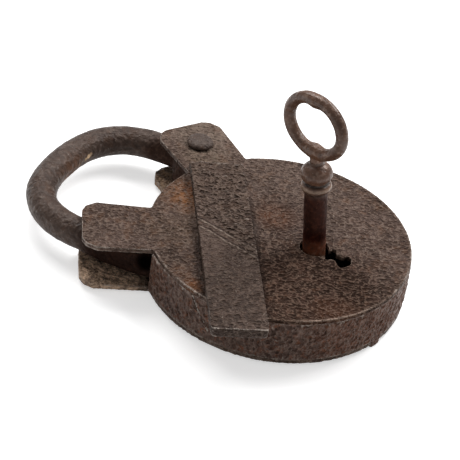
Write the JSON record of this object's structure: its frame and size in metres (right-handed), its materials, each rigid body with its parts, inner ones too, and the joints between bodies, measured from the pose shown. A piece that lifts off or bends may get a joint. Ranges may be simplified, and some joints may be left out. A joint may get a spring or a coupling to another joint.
{
  "type": "rusty padlock",
  "caption": "Old round iron padlock on its back, covered in brown rust, with a swinging shackle, a keyhole cover swung aside and a ring-bowed key in the keyhole",
  "frame": {"origin": "centre of the back plate's outer face, on the round case's middle line", "axes": "+Z out of the keyhole side, +Y from the case's centre towards the shackle's crown, midway between the two ears; the shackle's rivet is on the +X side"},
  "size_m": [0.1035, 0.1344, 0.0751],
  "materials": {
    "front_plate": "brown rust, orange near the cover",
    "back_plate": "brown rust",
    "case_band": "red-brown pitted rust",
    "shackle": "dark grey-brown, worn smooth",
    "shackle_rivet": "dark grey-brown",
    "keyhole_cover": "wrinkled brown rust",
    "cover_rivet": "brown rust",
    "key": "dark brown, rusty at the keyhole",
    "drill_pin": "rusted iron",
    "ward_ring": "rusted iron",
    "bolt": "rusted iron",
    "bolt_guides": "rusted iron",
    "bolt_spring": "dark spring steel",
    "spring_post": "rusted iron",
    "toe_stop": "rusted iron",
    "case_pillars": "rusted iron"
  },
  "bodies": {
    "case": {"front_plate": "front_plate", "back_plate": "back_plate", "case_band": "case_band", "shackle_rivet": "shackle_rivet", "cover_rivet": "cover_rivet", "drill_pin": "drill_pin", "ward_ring": "ward_ring", "bolt_guide_left": "bolt_guides", "bolt_guide_right": "bolt_guides", "bolt_spring": "bolt_spring", "spring_post": "spring_post", "toe_stop": "toe_stop", "case_pillar_1": "case_pillars", "case_pillar_2": "case_pillars", "case_pillar_3": "case_pillars", "case_pillar_4": "case_pillars", "case_pillar_5": "case_pillars"},
    "shackle": {"shackle": "shackle"},
    "cover": {"keyhole_cover": "keyhole_cover"},
    "key": {"key": "key"},
    "bolt": {"bolt": "bolt"}
  },
  "joints": [
    {"name": "shackle_swing", "type": "hinge", "parent": "case", "child": "shackle", "pos_m": [0.02979, 0.04695, 0.00885], "axis": [0, 0, -1], "range_deg": [0, 145]},
    {"name": "cover_swing", "type": "hinge", "parent": "case", "child": "cover", "pos_m": [0.01509, 0.0315, 0.0198], "axis": [0, 0, 1], "range_deg": [-124, 21]},
    {"name": "key_turn", "type": "hinge", "parent": "case", "child": "key", "pos_m": [0.0013, -0.0117, 0.0177], "axis": [0, 0.1335, 0.9911], "range_deg": [0, 36]},
    {"name": "bolt_throw", "type": "slide", "parent": "case", "child": "bolt", "axis": [-1, 0, 0], "range_m": [0, 0.00751]}
  ],
  "couplings": [
    {"joint": "bolt_throw", "follows": "key_turn", "m_per_rad": 0.011949}
  ]
}
